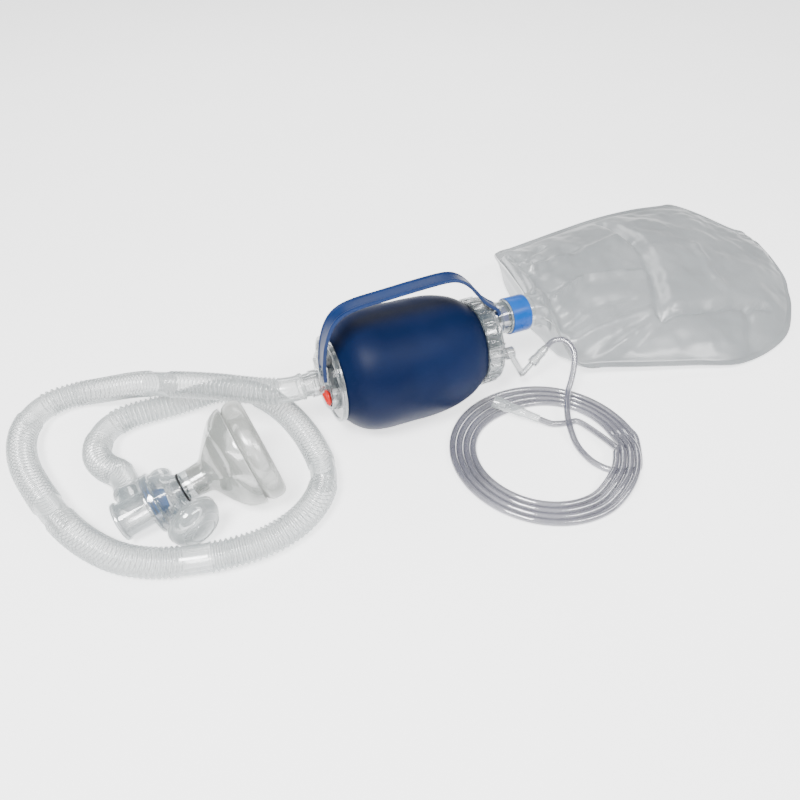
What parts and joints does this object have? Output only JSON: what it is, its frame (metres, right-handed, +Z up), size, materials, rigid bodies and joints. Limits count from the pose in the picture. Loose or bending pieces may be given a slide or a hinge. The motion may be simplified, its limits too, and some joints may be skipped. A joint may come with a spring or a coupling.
{
  "type": "bag valve mask",
  "caption": "Bag valve mask resuscitator: blue squeeze bag with strap, corrugated hose, patient valve, clear face mask, reservoir bag and a coil of oxygen tubing.",
  "frame": {"origin": "Middle of the base of everything but the free tubing and hose, on the table", "axes": "+X along the squeeze bag from the patient end to the reservoir, +Y away from the viewer, +Z up"},
  "size_m": [0.9771, 0.453, 0.1609],
  "materials": {
    "navy_rubber": "satin",
    "clear_plastic": "clear polished",
    "red_plastic": "satin",
    "silicone": "satin",
    "spring_steel": "drawn wire",
    "strap_blue": "satin",
    "purple_plastic": "satin",
    "frosted_plastic": "frosted",
    "band_blue": "gloss",
    "valve_blue": "satin",
    "black_rubber": "matt",
    "cushion_silicone": "satin translucent",
    "reservoir_film": "thin glossy film",
    "tubing": "clear extruded",
    "hose_plastic": "clear corrugated"
  },
  "bodies": {
    "bag_body": {"squeeze_bag": "navy_rubber", "outlet_flange": "clear_plastic", "relief_cage": "clear_plastic", "strap_handle": "strap_blue", "outlet_housing": "clear_plastic", "rear_ring": "clear_plastic", "rear_housing": "clear_plastic", "intake_valve_seat": "clear_plastic", "reservoir_valve_ring": "purple_plastic", "reservoir_collar": "frosted_plastic", "reservoir_band": "band_blue", "reservoir_bag": "reservoir_film", "oxygen_elbow": "clear_plastic", "oxygen_tube_adapter": "clear_plastic", "oxygen_tube_lead": "tubing", "oxygen_tube_coil": "tubing", "oxygen_tube_tail": "tubing", "oxygen_tube_connector": "frosted_plastic", "corrugated_hose": "hose_plastic", "inlet_chamber": "clear_plastic", "inlet_end_cap": "clear_plastic", "diaphragm_retainer": "valve_blue", "outlet_body": "clear_plastic", "relief_spring": "spring_steel"},
    "outlet_swivel_body": {"outlet_connector": "clear_plastic"},
    "relief_knob_body": {"relief_knob": "red_plastic"},
    "relief_disc_body": {"relief_disc": "silicone"},
    "intake_leaf_body": {"intake_valve_leaf": "silicone"},
    "duckbill_body": {"duckbill_valve": "valve_blue"},
    "exhalation_leaf_body": {"exhalation_leaf": "silicone"},
    "exhalation_cap_body": {"exhalation_cap": "frosted_plastic"},
    "patient_body": {"patient_port": "clear_plastic", "port_o_ring": "black_rubber", "mask_dome": "clear_plastic", "mask_cushion": "cushion_silicone"}
  },
  "joints": [
    {"name": "outlet_swivel", "type": "hinge", "parent": "bag_body", "child": "outlet_swivel_body", "pos_m": [-0.2469, -0.0647, 0.062], "axis": [1, 0, 0], "continuous": true},
    {"name": "relief_knob_turn", "type": "hinge", "parent": "bag_body", "child": "relief_knob_body", "pos_m": [-0.2369, -0.0847, 0.057], "axis": [1, 0, 0], "range_deg": [0, 90]},
    {"name": "relief_disc_lift", "type": "slide", "parent": "bag_body", "child": "relief_disc_body", "axis": [-1, 0, 0], "range_m": [0, 0.0008], "stiffness_N_per_m": 900, "deforming": ["relief_spring"]},
    {"name": "intake_leaf_lift", "type": "slide", "parent": "bag_body", "child": "intake_leaf_body", "axis": [-1, 0, 0], "range_m": [0, 0.002], "stiffness_N_per_m": 60},
    {"name": "duckbill_lift", "type": "slide", "parent": "bag_body", "child": "duckbill_body", "axis": [0.9686, 0.0813, 0.2351], "range_m": [0, 0.0012], "stiffness_N_per_m": 80},
    {"name": "exhalation_leaf_lift", "type": "slide", "parent": "bag_body", "child": "exhalation_leaf_body", "axis": [0.4391, -0.8877, -0.1388], "range_m": [0, 0.002], "stiffness_N_per_m": 60},
    {"name": "exhalation_cap_turn", "type": "hinge", "parent": "bag_body", "child": "exhalation_cap_body", "pos_m": [-0.39772, -0.12378, 0.02978], "axis": [0.4391, -0.8877, -0.1388], "continuous": true},
    {"name": "patient_port_swivel", "type": "hinge", "parent": "bag_body", "child": "patient_body", "pos_m": [-0.38029, -0.12232, 0.03401], "axis": [0.9686, 0.0813, 0.2351], "continuous": true}
  ]
}
